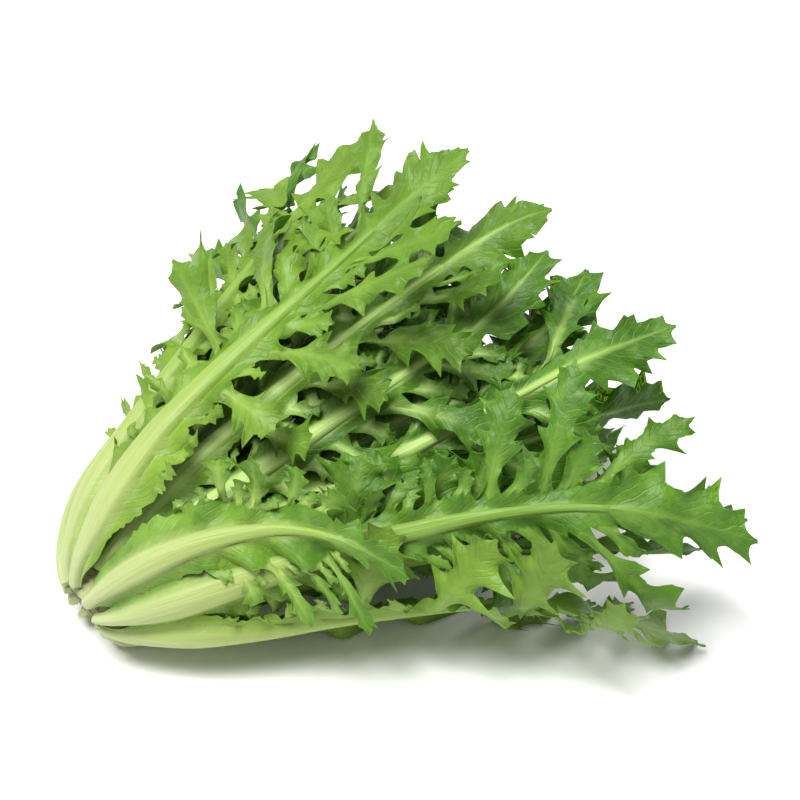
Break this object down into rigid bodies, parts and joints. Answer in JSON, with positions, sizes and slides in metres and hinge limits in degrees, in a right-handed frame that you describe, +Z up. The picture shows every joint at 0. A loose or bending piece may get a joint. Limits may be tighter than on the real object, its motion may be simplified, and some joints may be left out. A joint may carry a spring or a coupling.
{
  "type": "frisee head",
  "caption": "Curly endive head lying on its side: toothed, deeply cut leaves with broad pale ribs, fanned out from a short cut root plug.",
  "frame": {"origin": "on the table, under the middle of the head's plan box", "axes": "+X from the cut root towards the leaf tips, +Y to the head's far side, +Z up from the table"},
  "size_m": [0.2736, 0.3252, 0.1638],
  "materials": {
    "root_plug": "moist plant flesh, pale, with a browned fibrous cut",
    "outer_leaf": "fresh green leaf blade with a pale, satin rib",
    "inner_leaf": "fresh green leaf blade with a pale green rib",
    "heart_leaf": "young yellow-green leaf blade"
  },
  "bodies": {
    "root": {"core": "root_plug", "leaf_outer_01": "outer_leaf", "leaf_outer_02": "outer_leaf", "leaf_outer_03": "outer_leaf", "leaf_outer_04": "outer_leaf", "leaf_outer_05": "outer_leaf", "leaf_outer_06": "outer_leaf", "leaf_outer_07": "outer_leaf", "leaf_outer_08": "outer_leaf", "leaf_outer_09": "outer_leaf", "leaf_outer_10": "outer_leaf", "leaf_outer_11": "outer_leaf", "leaf_outer_12": "outer_leaf", "leaf_second_01": "inner_leaf", "leaf_second_02": "inner_leaf", "leaf_second_03": "inner_leaf", "leaf_second_04": "inner_leaf", "leaf_second_05": "inner_leaf", "leaf_second_06": "inner_leaf", "leaf_second_07": "inner_leaf", "leaf_second_08": "inner_leaf", "leaf_second_09": "inner_leaf", "leaf_second_10": "inner_leaf", "leaf_third_01": "inner_leaf", "leaf_third_02": "inner_leaf", "leaf_third_03": "inner_leaf", "leaf_third_04": "inner_leaf", "leaf_third_05": "inner_leaf", "leaf_third_06": "inner_leaf", "leaf_third_07": "inner_leaf", "leaf_third_08": "inner_leaf", "leaf_third_09": "inner_leaf", "leaf_heart_01": "heart_leaf", "leaf_heart_02": "heart_leaf", "leaf_heart_03": "heart_leaf"}
  },
  "joints": []
}
